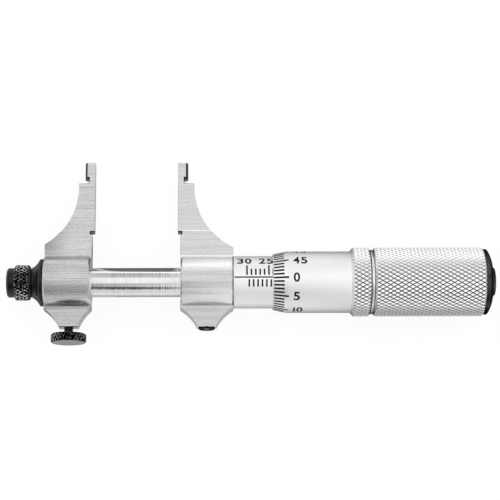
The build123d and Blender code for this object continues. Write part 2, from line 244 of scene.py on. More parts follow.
# How bright the studio is at each angle across the spindle, from straight up towards the tips
left_bands = [
    (-180, 0.3), (-96, 0.6), (-70, 0.85), (-52, 0.55), (-42, 0.06), (-22, 0.03), (-14, 0.4),
    (-6, 0.52), (-4, 0.22), (1, 0.24), (10, 0.36), (19, 0.42), (28, 0.46), (35, 0.48),
    (37, 0.9), (56, 0.9), (77, 0.84), (89, 0.75), (110, 0.6), (180, 0.3),
]
middle_bands = [
    (-180, 0.5), (-110, 0.8), (-95, 0.95), (-52, 1.35), (-33, 1.35), (-16, 1.1), (-7, 0.9),
    (-5, 0.1), (1, 0.1), (10, 0.24), (19, 0.38), (28, 0.42), (35, 0.44), (37, 1.0),
    (46, 1.15), (66, 1.65), (89, 2.0), (110, 2.0), (135, 1.3), (180, 0.5),
]
right_bands = [
    (-180, 0.4), (-110, 0.6), (-69, 0.8), (-52, 1.0), (-35, 1.25), (-21, 1.35), (-7, 1.25),
    (-5, 0.75), (35, 0.72), (37, 1.1), (47, 1.0), (73, 0.9), (92, 0.82), (130, 0.7), (180, 0.4),
]
tube_bands = [
    (-180, 0.4), (-118, 0.4), (-100, 0.6), (-84, 0.74), (-62, 0.8), (-59, 0.6), (-56, 0.03),
    (-37, 0.03), (-34, 0.7), (-14, 0.58), (-6, 0.9), (-4, 0.85), (34, 0.8), (40, 0.8),
    (48, 0.5), (78, 0.42), (84, 1.5), (104, 1.5), (110, 0.1), (130, 0.1), (150, 0.4), (180, 0.4),
]
side_bands = [
    (-180, 0.4), (-100, 0.5), (-60, 0.5), (-35, 0.6), (-18, 0.9), (0, 1.05), (100, 1.05),
    (130, 0.6), (180, 0.2),
]
studio_peak = 2.0

# Where each set of bands takes over from the one before, by its direction along the spindle
studio = [
    (left_bands, ()),
    (middle_bands, (("x", -0.07, -0.035, 0.0, 1.0),)),
    (right_bands, (("x", 0.0, 0.06, 0.0, 1.0),)),
    (tube_bands, (("x", -0.082, -0.076, 0.0, 1.0), ("x", -0.014, -0.008, 1.0, 0.0))),
    (side_bands, (("out", 0.28, 0.38, 0.0, 1.0),)),
]

# Looks: plain colour, metal and roughness, then grains, each with its share of the mask, its scale
# in features to the metre, its detail and its contrast. The mask moves the colour, the roughness
# and the relief from one end to the other; smudges move the roughness in its place.
looks = {
    "polished_round_steel": {
        "plain": ((0.8, 0.8, 0.795), 1.0, 0.15),
        "grain": [(1.0, (4200, 60, 60), 3.0, 2.6)],
        "smudges": [(0.65, (4200, 60, 60), 3.0, 2.6), (0.35, (260, 260, 260), 4.0, 2.4)],
        "colours": ((0.74, 0.74, 0.735), (0.84, 0.84, 0.835)),
        "roughness": (0.05, 0.14),
        "relief": (0.25, 0.00001),
    },
    "satin_chrome": {
        "plain": ((0.86, 0.86, 0.87), 1.0, 0.42),
        "sockets": {"Specular Tint": (0.6, 0.6, 0.6, 1)},
        "grain": [(0.5, (3800, 90, 90), 2.0, 2.0), (0.5, (9000, 9000, 9000), 2.0, 2.0)],
        "smudges": [(1.0, (180, 180, 180), 4.0, 2.0)],
        "colours": ((0.9, 0.9, 0.91), (0.95, 0.95, 0.96)),
        "roughness": (0.38, 0.48),
        "relief": (0.2, 0.00001),
    },
    "bright_turned_chrome": {
        "plain": ((0.8, 0.8, 0.805), 1.0, 0.16),
        "grain": [(1.0, (12000, 60, 60), 2.0, 2.4)],
        "colours": ((0.74, 0.74, 0.745), (0.84, 0.84, 0.845)),
        "roughness": (0.12, 0.24),
        "relief": (0.2, 0.00001),
    },
    # The black finishes' corners are lightened by handling and as painted edge highlights.
    "black_oxide": {
        "plain": ((0.012, 0.012, 0.013), 0.0, 0.3),
        "sockets": {"Specular IOR Level": 0.34},
        "grain": [(1.0, (420, 420, 420), 4.0, 2.6)],
        "colours": ((0.002, 0.002, 0.0025), (0.008, 0.008, 0.009)),
        "handled_and_highlit": (0.25, 0.25, 0.255),
        "roughness": (0.14, 0.26),
        "relief": (0.15, 0.00001),
    },
    "black_oxide_dull": {
        "plain": ((0.03, 0.03, 0.032), 1.0, 0.24),
        "sockets": {"Specular Tint": (0.3, 0.3, 0.3, 1)},
        "grain": [(1.0, (160, 160, 160), 3.0, 4.0)],
        "colours": ((0.004, 0.004, 0.0045), (0.07, 0.07, 0.074)),
        "handled_and_highlit": (0.25, 0.25, 0.255),
        "roughness": (0.18, 0.3),
        "relief": (0.15, 0.00001),
    },
    "faced_steel_end": {
        "plain": ((0.33, 0.33, 0.33), 1.0, 0.35),
        "grain": [(1.0, (2600, 2600, 2600), 3.0, 2.4)],
        "colours": ((0.22, 0.22, 0.22), (0.42, 0.42, 0.42)),
        "roughness": (0.26, 0.42),
        "relief": (0.3, 0.00002),
    },
    "black_mark_fill": {
        "plain": ((0.006, 0.006, 0.007), 0.0, 0.6),
        "sockets": {"Specular IOR Level": 0.2},
        "grain": [(1.0, (5000, 5000, 5000), 3.0, 2.0)],
        "colours": ((0.004, 0.004, 0.005), (0.012, 0.012, 0.013)),
        "roughness": (0.4, 0.6),
    },
    # Painted shade for the fine grooves beside the thimble's collar.
    "painted_groove_shade": {
        "plain": ((0.1, 0.1, 0.1), 0.6, 0.5),
        "grain": [(1.0, (2400, 2400, 2400), 3.0, 2.6)],
        "colours": ((0.05, 0.05, 0.052), (0.16, 0.16, 0.165)),
        "roughness": (0.4, 0.6),
    },
    "turned_bronze": {
        "plain": ((0.6, 0.42, 0.22), 1.0, 0.3),
        "grain": [(1.0, (5000, 80, 80), 3.0, 2.4)],
        "colours": ((0.5, 0.34, 0.17), (0.66, 0.48, 0.27)),
        "roughness": (0.24, 0.4),
        "relief": (0.3, 0.00001),
    },
    "turned_steel": {
        "plain": ((0.45, 0.45, 0.46), 1.0, 0.3),
        "grain": [(1.0, (4200, 80, 80), 3.0, 2.4)],
        "colours": ((0.38, 0.38, 0.39), (0.52, 0.52, 0.53)),
        "roughness": (0.24, 0.4),
        "relief": (0.3, 0.00001),
    },
}
# Corners lightened by handling and painted as edge highlights.
handled_and_highlit_corner = (0.0001, 3.0)

# The jaws' steel, brushed along the spindle: long lines, fine and broad, and short scratches
jaw_look = {
    "plain": ((0.62, 0.61, 0.6), 1.0, 0.4),
    "grain": [
        (0.36, (40, 6400, 6400), 2.0, 4.0),
        (0.36, (130, 9000, 9000), 2.0, 4.0),
        (0.28, (1500, 7000, 7000), 2.0, 4.0),
    ],
    "by_the_knob": ((0.42, 0.412, 0.404), (0.84, 0.828, 0.818)),
    "by_the_sleeve": ((0.52, 0.518, 0.515), (0.8, 0.797, 0.792)),
    # Colours: painted shade, painted highlight, corners lightened by handling and as highlights, painted
    # near-black shade
    "darkened": (0.0, 0.0, 0.0),
    "bright": (0.93, 0.93, 0.935),
    "handling_highlight": (0.8, 0.795, 0.79),
    "painted_black_shade": (0.03, 0.03, 0.03),
    "handling_and_highlight": (0.00012, 4.0),
    "painted_shade": (0.0008, 0.3, 2.8),
    "roughness": (0.3, 0.2),
    "relief": (0.35, 0.00002),
}

# The knurled chrome: painted shade in its grooves, and more of it on one flank of each diamond than by the long
# corners
chrome_knurl_look = {
    "plain": ((0.84, 0.84, 0.845), 1.0, 0.24),
    "grain": [(1.0, (5200, 5200, 5200), 2.0, 2.4)],
    "flank": -0.3,
    "arm": 0.3,
    "unshaded": (0.05, 0.5, 0.0, 1.0),
    "painted_black_shade": (0.02, 0.02, 0.022),
    "colours": ((0.92, 0.92, 0.925), (0.98, 0.98, 0.985)),
    "roughness": (0.5, 0.2),
    "relief": (0.15, 0.00001),
}

# The blackened knurls, lightened along the edges of their diamonds by handling and as a painted highlight, a
# little more on one flank
black_knurl_look = {
    "plain": ((0.03, 0.03, 0.032), 1.0, 0.24),
    "grain": [(1.0, (2400, 2400, 2400), 3.0, 4.0)],
    "handling_highlight": [
        ("ridge", 0.5, 0.65, 0.0, 1.0),
        ("ridge", 0.94, 1.0, 1.0, 0.0),
        ("flank", 0.0, 1.0, 0.8, 1.0),
        ("smudge", 0.25, 0.62, 0.0, 1.0),
    ],
    "colours": ((0.003, 0.003, 0.0035), (0.008, 0.008, 0.009)),
    "roughness": (0.16, 0.3),
}
# The lightened edges' colours: the knob's, and the lock head's painted darker as shade
knob_rub_and_highlight = (0.96, 0.96, 0.96)
lock_head_rub_highlight_in_shade = (0.55, 0.55, 0.55)

# The floor's paper
floor_look = {
    "plain": ((0.95, 0.95, 0.95), 0.0, 0.9),
    "grain": [(1.0, (40, 40, 40), 2.0, 1.0)],
    "colours": ((0.945, 0.945, 0.945), (0.955, 0.955, 0.955)),
}


def joint(name):
    """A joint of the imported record."""
    return next(entry for entry in frame["joints"] if entry["name"] == name)


spindle_zero = Vector(joint("thimble_turn")["pos_m"])
along = Vector((1, 0, 0))
towards_tips = Vector(joint("lock_shoe_travel")["axis"])
reading_face = along.cross(towards_tips)
between_contacts = spindle_zero.x - contact * mm


def placing(first, second, third, origin):
    """What turns millimetres on three axes into a place in the frame."""
    turn = Matrix((first, second, third)).transposed().to_4x4()
    return Matrix.Translation(origin) @ turn @ Matrix.Scale(mm, 4)


on_spindle = placing(along, towards_tips, reading_face, spindle_zero)
lock_zero = spindle_zero + along * lock_screw_place * mm
on_lock_screw = placing(-towards_tips, along, reading_face, lock_zero)


# Nodes


def add(tree, kind, inputs=None, **settings):
    """One node with its settings, its inputs given as values or linked sockets."""
    node = tree.nodes.new(kind)
    for name, value in settings.items():
        setattr(node, name, value)
    for key, value in (inputs or {}).items():
        if isinstance(value, bpy.types.NodeSocket):
            tree.links.new(value, node.inputs[key])
        else:
            node.inputs[key].default_value = value
    return node


def maths(tree, operation, *values):
    """The result of a sum on numbers."""
    return add(tree, "ShaderNodeMath", dict(enumerate(values)), operation=operation).outputs[0]


def spread(tree, value, low, high, new_low, new_high):
    """A number moved from one range to another, and held in it."""
    inputs = {0: value, 1: low, 2: high, 3: new_low, 4: new_high}
    return add(tree, "ShaderNodeMapRange", inputs).outputs[0]


def vector(tree, x, y, z):
    """A vector from three numbers."""
    return add(tree, "ShaderNodeCombineXYZ", {0: x, 1: y, 2: z}).outputs[0]


def axes(tree, value):
    """The three numbers of a vector."""
    return add(tree, "ShaderNodeSeparateXYZ", {0: value}).outputs


def dot(tree, first, second):
    """How far one vector goes along another."""
    inputs = {0: first, 1: second}
    return add(tree, "ShaderNodeVectorMath", inputs, operation="DOT_PRODUCT").outputs["Value"]


def own_place(tree):
    """Where a point is on its own piece."""
    return add(tree, "ShaderNodeTexCoord").outputs["Object"]


def zone_mask(tree, places, ramps):
    """The product of some ramps, each over one of the places."""
    mask = 1.0
    for place, *limits in ramps:
        mask = maths(tree, "MULTIPLY", mask, spread(tree, places[place], *limits))
    return mask


def zones_mask(tree, places, zones):
    """The strongest of some zones at each point."""
    mask = 0.0
    for ramps in zones:
        mask = maths(tree, "MAXIMUM", mask, zone_mask(tree, places, ramps))
    return mask


socket_kinds = {
    int: "NodeSocketInt",
    float: "NodeSocketFloat",
    tuple: "NodeSocketVector",
    type(None): "NodeSocketMaterial",
}


def new_group(name, kind, defaults, label, made):
    """An empty node group with named inputs and one output, and its two end nodes."""
    group = bpy.data.node_groups.new(name, kind)
    for entry, default in defaults.items():
        needed = socket_kinds[type(default)]
        socket = group.interface.new_socket(name=entry, in_out="INPUT", socket_type=needed)
        if default is not None:
            socket.default_value = default
    group.interface.new_socket(name=label, in_out="OUTPUT", socket_type=made)
    given = group.nodes.new("NodeGroupInput").outputs
    result = group.nodes.new("NodeGroupOutput").inputs
    return group, given, result



# Shared surface effects


def effect_group(name, defaults):
    """An empty group for a surface effect, which gives a mask."""
    return new_group(name, "ShaderNodeTree", defaults, "Mask", "NodeSocketFloat")


def give_mask(group, value, strength, lift, result):
    """Strengthens a value, holds it between 0 and 1 and gives it as the group's mask."""
    raised = maths(group, "MULTIPLY", value, strength)
    mask = add(group, "ShaderNodeMath", {0: raised, 1: lift}, operation="ADD", use_clamp=True)
    group.links.new(mask.outputs[0], result["Mask"])
    return group


def make_grain():
    """Streaks or grain: noise on the piece's own coordinates, stretched by a scale."""
    defaults = {"Scale": (1, 1, 1), "Detail": 3.0, "Contrast": 2.0}
    group, given, result = effect_group("grain", defaults)
    inputs = {"Vector": own_place(group), "Scale": given["Scale"]}
    scaled = add(group, "ShaderNodeMapping", inputs).outputs[0]
    inputs = {"Vector": scaled, "Scale": 1.0, "Detail": given["Detail"]}
    noise = add(group, "ShaderNodeTexNoise", inputs).outputs[0]
    centred = maths(group, "SUBTRACT", noise, 0.5)
    return give_mask(group, centred, given["Contrast"], 0.5, result)


def make_edge_wear():
    """Corners, lightened where handling has abraded a finish and as a painted edge highlight."""
    group, given, result = effect_group("edge_handling_and_highlight", {"Radius": 0.0001, "Strength": 6.0})
    rounded = add(group, "ShaderNodeBevel", {"Radius": given["Radius"]}, samples=6).outputs[0]
    plain = add(group, "ShaderNodeNewGeometry").outputs["Normal"]
    turned = maths(group, "SUBTRACT", 1.0, dot(group, rounded, plain))
    return give_mask(group, turned, given["Strength"], 0.0, result)


def make_crevice_grime():
    """Painted shade in corners and holes, darkest where they are most closed in."""
    defaults = {"Reach": 0.0005, "Unshaded": 0.3, "Strength": 2.0}
    group, given, result = effect_group("crevice_painted_shade", defaults)
    near = add(group, "ShaderNodeAmbientOcclusion", {"Distance": given["Reach"]}, samples=8).outputs["AO"]
    closed = maths(group, "SUBTRACT", maths(group, "SUBTRACT", 1.0, near), given["Unshaded"])
    return give_mask(group, closed, given["Strength"], 0.0, result)


grain = make_grain()
edge_handling_and_highlight = make_edge_wear()
crevice_painted_shade = make_crevice_grime()


def effect_mask(tree, group, inputs):
    """The mask of one of the shared surface effects."""
    return add(tree, "ShaderNodeGroup", inputs, node_tree=group).outputs["Mask"]


def grain_mask(tree, grains):
    """A mask of some grains or streaks, each with its share."""
    total = 0.0
    for share, scale, detail, contrast in grains:
        mask = effect_mask(tree, grain, {"Scale": scale, "Detail": detail, "Contrast": contrast})
        total = maths(tree, "MULTIPLY_ADD", mask, share, total)
    return total


def wear_mask(tree, radius, strength):
    """A mask of corners, abraded by handling and painted as edge highlights."""
    return effect_mask(tree, edge_handling_and_highlight, {"Radius": radius, "Strength": strength})


def grime_mask(tree, reach, unshaded, strength):
    """A mask of painted shade in corners and holes."""
    return effect_mask(tree, crevice_painted_shade, {"Reach": reach, "Unshaded": unshaded, "Strength": strength})


# Materials


def new_material(name, colour, metallic, roughness):
    """A material with one Principled shader, whose plain values are on its own sockets."""
    material = bpy.data.materials.new(name)
    material.use_nodes = True
    tree = material.node_tree
    shader = tree.nodes["Principled BSDF"]
    shader.inputs["Base Color"].default_value = (*colour, 1)
    shader.inputs["Metallic"].default_value = metallic
    shader.inputs["Roughness"].default_value = roughness
    return material, tree, shader


def blend_colours(tree, mask, first, second):
    """One colour or another, by a mask."""
    inputs = {0: mask}
    for key, value in ((6, first), (7, second)):
        inputs[key] = (*value, 1) if isinstance(value, tuple) else value
    return add(tree, "ShaderNodeMix", inputs, data_type="RGBA").outputs[2]


def paint(tree, shader, colour):
    """Gives the shader a changing colour."""
    tree.links.new(colour, shader.inputs["Base Color"])


def roughen(tree, shader, mask, low, high):
    """Gives the shader a roughness that follows a mask."""
    tree.links.new(spread(tree, mask, 0.0, 1.0, low, high), shader.inputs["Roughness"])


def bump(tree, shader, height, strength, distance):
    """Gives the shader a fine relief from a mask."""
    inputs = {"Height": height, "Strength": strength, "Distance": distance}
    tree.links.new(add(tree, "ShaderNodeBump", inputs).outputs["Normal"], shader.inputs["Normal"])


def make_look(name):
    """A material from the table of looks."""
    look = looks[name]
    material, tree, shader = new_material(name, *look["plain"])
    for label, value in look.get("sockets", {}).items():
        shader.inputs[label].default_value = value
    mask = grain_mask(tree, look["grain"])
    colour = blend_colours(tree, mask, *look["colours"])
    # Corners lightened by handling and as painted edge highlights.
    if "handled_and_highlit" in look:
        colour = blend_colours(tree, wear_mask(tree, *handled_and_highlit_corner), colour, look["handled_and_highlit"])
    paint(tree, shader, colour)
    rough = grain_mask(tree, look["smudges"]) if "smudges" in look else mask
    roughen(tree, shader, rough, *look["roughness"])
    if "relief" in look:
        bump(tree, shader, mask, *look["relief"])
    return material


def jaw_places(tree):
    """Where a point of a jaw lies and how it faces, as the zones of its steel need it."""
    place = own_place(tree)
    normal = add(tree, "ShaderNodeNewGeometry").outputs["Normal"]
    x = maths(tree, "SUBTRACT", axes(tree, place)[0], between_contacts)
    height = dot(tree, place, tuple(towards_tips))
    rise = maths(tree, "SUBTRACT", height, spindle_zero.dot(towards_tips))
    across = maths(tree, "DIVIDE", x, mm)
    moving = spread(tree, across, *moving_hub, 0.0, 1.0)
    fixed = spread(tree, across, *fixed_hub, 0.0, 1.0)
    beyond_moving = maths(tree, "GREATER_THAN", across, 0.0)
    return {
        "across": across,
        "out": maths(tree, "ABSOLUTE", across),
        "up": maths(tree, "DIVIDE", rise, mm),
        "share": maths(tree, "SUBTRACT", maths(tree, "ADD", moving, fixed), beyond_moving),
        "facing": dot(tree, normal, tuple(reading_face)),
    }


def make_jaw_steel():
    """Brushed steel with painted shade and highlights in zones, notches and crevices, and corners lightened by
    handling and as highlights.
    """
    look = jaw_look
    material, tree, shader = new_material("brushed_jaw_steel", *look["plain"])
    lines = grain_mask(tree, look["grain"])
    places = jaw_places(tree)
    one_side = blend_colours(tree, lines, *look["by_the_knob"])
    other_side = blend_colours(tree, lines, *look["by_the_sleeve"])
    colour = blend_colours(tree, zone_mask(tree, places, [by_sleeve]), one_side, other_side)
    # Painted shade in zones.
    colour = blend_colours(tree, zones_mask(tree, places, painted_shade_zones), colour, look["darkened"])
    # Painted highlight in zones.
    colour = blend_colours(tree, zones_mask(tree, places, painted_highlight_zones), colour, look["bright"])
    # Corners lightened by handling and as painted edge highlights.
    colour = blend_colours(tree, wear_mask(tree, *look["handling_and_highlight"]), colour, look["handling_highlight"])
    # Painted near-black shade on the contact strips and notches.
    colour = blend_colours(tree, zones_mask(tree, places, painted_black_zones), colour, look["painted_black_shade"])
    # Painted shade in the steel's crevices.
    colour = blend_colours(tree, grime_mask(tree, *look["painted_shade"]), colour, look["painted_black_shade"])
    paint(tree, shader, colour)
    roughen(tree, shader, lines, *look["roughness"])
    bump(tree, shader, lines, *look["relief"])
    return material


def knurl_value(tree, name):
    """What the knurl's mesh holds for a point: its ridge, its flank or its arm, from 0 to 1."""
    return add(tree, "ShaderNodeAttribute", attribute_name=name).outputs["Fac"]


def make_knurled_chrome():
    """Chrome over a diamond knurl: bright peaks, and grooves with painted shade, more of it on one side."""
    look = chrome_knurl_look
    material, tree, shader = new_material("knurled_chrome", *look["plain"])
    ridge = knurl_value(tree, "ridge")
    lowered = maths(tree, "MULTIPLY_ADD", knurl_value(tree, "flank"), look["flank"], ridge)
    height = maths(tree, "MULTIPLY_ADD", knurl_value(tree, "arm"), look["arm"], lowered)
    unshaded = spread(tree, height, *look["unshaded"])
    frost = grain_mask(tree, look["grain"])
    chrome = blend_colours(tree, frost, *look["colours"])
    # Painted shade in the grooves and on one flank of each diamond.
    paint(tree, shader, blend_colours(tree, unshaded, look["painted_black_shade"], chrome))
    roughen(tree, shader, unshaded, *look["roughness"])
    bump(tree, shader, frost, *look["relief"])
    return material


def make_black_knurl(name, rub_and_highlight):
    """Blackened steel over a knurl, lightened along its diamonds' edges by handling and as a painted highlight."""
    look = black_knurl_look
    material, tree, shader = new_material(name, *look["plain"])
    smudge = grain_mask(tree, look["grain"])
    places = {"ridge": knurl_value(tree, "ridge"), "flank": knurl_value(tree, "flank"), "smudge": smudge}
    black = blend_colours(tree, smudge, *look["colours"])
    # Edges lightened by handling and as a painted highlight, a little more on one flank.
    paint(tree, shader, blend_colours(tree, zone_mask(tree, places, look["handling_highlight"]), black, rub_and_highlight))
    roughen(tree, shader, smudge, *look["roughness"])
    return material


jaw_steel = make_jaw_steel()
ground_steel = make_look("polished_round_steel")
satin_chrome = make_look("satin_chrome")
polished_collar = make_look("bright_turned_chrome")
knurled_chrome = make_knurled_chrome()
black_oxide = make_look("black_oxide")
black_cap = make_look("black_oxide_dull")
black_knurl = make_black_knurl("black_oxide_knurl", knob_rub_and_highlight)
# The lock head's copy is painted darker, as shade.
lock_head_shaded_knurl = make_black_knurl("black_oxide_knurl_in_shade", lock_head_rub_highlight_in_shade)
worn_end = make_look("faced_steel_end")
mark_fill = make_look("black_mark_fill")
groove_painted_shade = make_look("painted_groove_shade")
bronze = make_look("turned_bronze")
spring_steel = make_look("turned_steel")

finishes = {
    "jaw_steel": jaw_steel,
    "ground_steel": ground_steel,
    "satin_chrome": satin_chrome,
    "knurled_chrome": knurled_chrome,
    "black_oxide": black_cap,
    "bronze": bronze,
    "spring_steel": spring_steel,
}

for part in frame["record"]["subparts"]:
    frame["nodes"][part["node"]].data.materials[0] = finishes[part["material_slot"]]


# Trees for what repeats


def piece_group(name, defaults):
    """An empty tree that makes a mesh in a material."""
    inputs = defaults | {"Material": None}
    return new_group(name, "GeometryNodeTree", inputs, "Mesh", "NodeSocketGeometry")


def own_point(tree):
    """The three numbers of a point's place in a mesh."""
    return axes(tree, add(tree, "GeometryNodeInputPosition").outputs[0])


def wrapped(tree, x, angle, radius):
    """A point on a round surface, its angle counted from the reading face."""
    y = maths(tree, "MULTIPLY", radius, maths(tree, "SINE", angle))
    z = maths(tree, "MULTIPLY", radius, maths(tree, "COSINE", angle))
    return vector(tree, x, y, z)


def moved(tree, mesh, place):
    """A mesh with its points moved to a place."""
    return add(tree, "GeometryNodeSetPosition", {"Geometry": mesh, "Position": place}).outputs[0]


def noted(tree, mesh, domain, name, value):
    """A mesh that holds a named value."""
    inputs = {"Geometry": mesh, "Name": name, "Value": value}
    node = add(tree, "GeometryNodeStoreNamedAttribute", inputs, data_type="FLOAT", domain=domain)
    return node.outputs[0]


def copied(tree, points, piece, **inputs):
    """A mesh copied on to points, as one real mesh."""
    inputs = {"Points": points, "Instance": piece} | inputs
    copies = add(tree, "GeometryNodeInstanceOnPoints", inputs).outputs[0]
    return add(tree, "GeometryNodeRealizeInstances", {0: copies}).outputs[0]


def finished(tree, given, result, mesh):
    """Joins what meets and gives the mesh its material."""
    whole = add(tree, "GeometryNodeRealizeInstances", {0: mesh}).outputs[0]
    closed = add(tree, "GeometryNodeMergeByDistance", {"Geometry": whole, "Distance": tiny}).outputs[0]
    dressed = add(tree, "GeometryNodeSetMaterial", {"Geometry": closed, "Material": given["Material"]})
    tree.links.new(dressed.outputs[0], result["Mesh"])
    return tree


def lattice(tree, given, half_pitch, half_angle):
    """Points in staggered rows, every other one of a full grid."""
    columns = maths(tree, "MULTIPLY", given["Columns"], 2.0)
    rows = maths(tree, "MULTIPLY", given["Around"], 2.0)
    width = maths(tree, "MULTIPLY", columns, half_pitch)
    height = maths(tree, "MULTIPLY", maths(tree, "SUBTRACT", rows, 1.0), half_angle)
    vertices = maths(tree, "ADD", columns, 1.0)
    inputs = {"Size X": width, "Size Y": height, "Vertices X": vertices, "Vertices Y": rows}
    grid = add(tree, "GeometryNodeMeshGrid", inputs).outputs["Mesh"]
    x, y, _ = own_point(tree)
    across = maths(tree, "DIVIDE", maths(tree, "MULTIPLY_ADD", width, 0.5, x), half_pitch)
    up = maths(tree, "DIVIDE", maths(tree, "MULTIPLY_ADD", height, 0.5, y), half_angle)
    both = maths(tree, "ROUND", maths(tree, "ADD", across, up))
    chosen = maths(tree, "LESS_THAN", maths(tree, "MODULO", both, 2.0), 0.5)
    return grid, chosen


def diamond_stud(tree, given, half_pitch, half_angle):
    """One diamond of a knurl: a four-sided block with a smaller flat top."""
    circle = add(tree, "GeometryNodeMeshCircle", {"Vertices": 4, "Radius": 1.0}, fill_type="NGON")
    inputs = {"Geometry": circle.outputs[0], "Scale": vector(tree, half_pitch, half_angle, 1.0)}
    diamond = add(tree, "GeometryNodeTransform", inputs).outputs[0]
    long_way = maths(tree, "GREATER_THAN", maths(tree, "ABSOLUTE", own_point(tree)[0]), tiny)
    inputs = {"Mesh": noted(tree, diamond, "POINT", "arm", long_way), "Offset Scale": 1.0}
    block = add(tree, "GeometryNodeExtrudeMesh", inputs, mode="FACES").outputs
    inputs = {"Geometry": block["Mesh"], "Selection": block["Top"], "Scale": given["Flat"]}
    return add(tree, "GeometryNodeScaleElements", inputs, domain="FACE").outputs[0]


def make_knurl_tree():
    """Diamonds in staggered rows, laid flat and then wrapped round an axis."""
    size = {"Around": 40, "Columns": 10, "Pitch": 1.5, "Middle": 0.0, "Radius": 5.0}
    tree, given, result = piece_group("diamond_knurl", size | {"Depth": 0.3, "Flat": 0.2})
    half_pitch = maths(tree, "MULTIPLY", given["Pitch"], 0.5)
    half_angle = maths(tree, "DIVIDE", pi, given["Around"])
    stud = diamond_stud(tree, given, half_pitch, half_angle)
    grid, chosen = lattice(tree, given, half_pitch, half_angle)
    whole = copied(tree, grid, stud, Selection=chosen)
    x, arc, rise = own_point(tree)
    risen = noted(tree, whole, "POINT", "ridge", rise)
    facing = axes(tree, add(tree, "GeometryNodeInputNormal").outputs[0])
    behind = maths(tree, "GREATER_THAN", facing[1], 0.5)
    sided = noted(tree, risen, "FACE", "flank", behind)
    root = maths(tree, "SUBTRACT", given["Radius"], given["Depth"])
    radius = maths(tree, "MULTIPLY_ADD", rise, given["Depth"], root)
    point = wrapped(tree, maths(tree, "ADD", x, given["Middle"]), arc, radius)
    return finished(tree, given, result, moved(tree, sided, point))


def make_thread_tree():
    """A screw thread, wound from a flat grid."""
    size = {"Start": 0.0, "Length": 5.0, "Pitch": 0.5, "Rows": 60, "Around": 32}
    tree, given, result = piece_group("screw_thread", size | {"Radius": 1.0, "Depth": 0.2})
    inputs = {"Size X": given["Length"], "Size Y": 2 * pi, "Vertices X": given["Rows"]}
    inputs["Vertices Y"] = maths(tree, "ADD", given["Around"], 1.0)
    grid = add(tree, "GeometryNodeMeshGrid", inputs).outputs["Mesh"]
    flat_x, arc, _ = own_point(tree)
    middle = maths(tree, "MULTIPLY_ADD", given["Length"], 0.5, given["Start"])
    x = maths(tree, "ADD", flat_x, middle)
    turns = maths(tree, "DIVIDE", arc, 2 * pi)
    phase = maths(tree, "ADD", maths(tree, "DIVIDE", x, given["Pitch"]), turns)
    wave = maths(tree, "PINGPONG", phase, 0.5)
    fall = maths(tree, "MULTIPLY", maths(tree, "MULTIPLY", wave, 2.0), given["Depth"])
    point = wrapped(tree, x, arc, maths(tree, "SUBTRACT", given["Radius"], fall))
    return finished(tree, given, result, moved(tree, grid, point))


def mark_line(tree, given):
    """Points for the marks, half sunk in the surface, and how long each mark is."""
    line = add(tree, "GeometryNodeMeshLine", {"Count": given["Count"]}).outputs[0]
    index = add(tree, "GeometryNodeInputIndex").outputs[0]
    repeat = maths(tree, "MULTIPLY_ADD", index, given["Step"], given["First"])
    height = maths(tree, "MULTIPLY", maths(tree, "SUBTRACT", given["Rise"], given["Sink"]), 0.5)
    points = moved(tree, line, vector(tree, repeat, given["Near"], height))
    is_long = maths(tree, "LESS_THAN", maths(tree, "MODULO", index, given["Long Every"]), 0.5)
    extra = maths(tree, "SUBTRACT", given["Long"], given["Short"])
    return points, maths(tree, "MULTIPLY_ADD", is_long, extra, given["Short"])


def mark_bar(tree):
    """One mark of unit size that starts at its own origin, with points enough to bend."""
    inputs = {"Size": (1, 1, 1), "Vertices X": 2, "Vertices Y": mark_points, "Vertices Z": 2}
    bar = add(tree, "GeometryNodeMeshCube", inputs).outputs["Mesh"]
    inputs = {"Geometry": bar, "Translation": (0, 0.5, 0)}
    return add(tree, "GeometryNodeTransform", inputs).outputs[0]


def bent_marks(tree, given, flat):
    """Flat marks wrapped round a bevel and a cylinder, their rows along or around the axis."""
    u, v, rise = own_point(tree)
    gap = maths(tree, "SUBTRACT", v, u)
    x = maths(tree, "MULTIPLY_ADD", gap, given["Around"], u)
    arc = maths(tree, "SUBTRACT", v, maths(tree, "MULTIPLY", gap, given["Around"]))
    angle = maths(tree, "DIVIDE", arc, given["Radius"])
    bevel_foot = maths(tree, "ADD", given["Bevel Start"], given["Bevel Length"])
    surface = spread(tree, x, given["Bevel Start"], bevel_foot, given["Edge Radius"], given["Radius"])
    return moved(tree, flat, wrapped(tree, x, angle, maths(tree, "ADD", surface, rise)))


def make_mark_tree():
    """Marks of a scale, the long ones at every so many."""
    rows = {"Count": 10, "First": 0.0, "Step": 1.0, "Long Every": 5.0, "Around": 0.0}
    mark = {"Width": 0.2, "Near": 0.5, "Short": 1.5, "Long": 2.5, "Rise": 0.01, "Sink": 0.01}
    surface = {"Radius": 6.0, "Edge Radius": 6.0, "Bevel Start": 0.0, "Bevel Length": 1.0}
    tree, given, result = piece_group("scale_marks", rows | mark | surface)
    points, length = mark_line(tree, given)
    thickness = maths(tree, "ADD", given["Rise"], given["Sink"])
    size = vector(tree, given["Width"], length, thickness)
    flat = copied(tree, points, mark_bar(tree), Scale=size)
    return finished(tree, given, result, bent_marks(tree, given, flat))


knurl_tree = make_knurl_tree()
thread_tree = make_thread_tree()
mark_tree = make_mark_tree()


def in_scene(name, data):
    """A new object in the scene."""
    thing = bpy.data.objects.new(name, data)
    bpy.context.scene.collection.objects.link(thing)
    return thing


def evaluated(holder):
    """The plain mesh of an object as it stands."""
    bpy.context.view_layer.update()
    ready = holder.evaluated_get(bpy.context.evaluated_depsgraph_get())
    return bpy.data.meshes.new_from_object(ready)


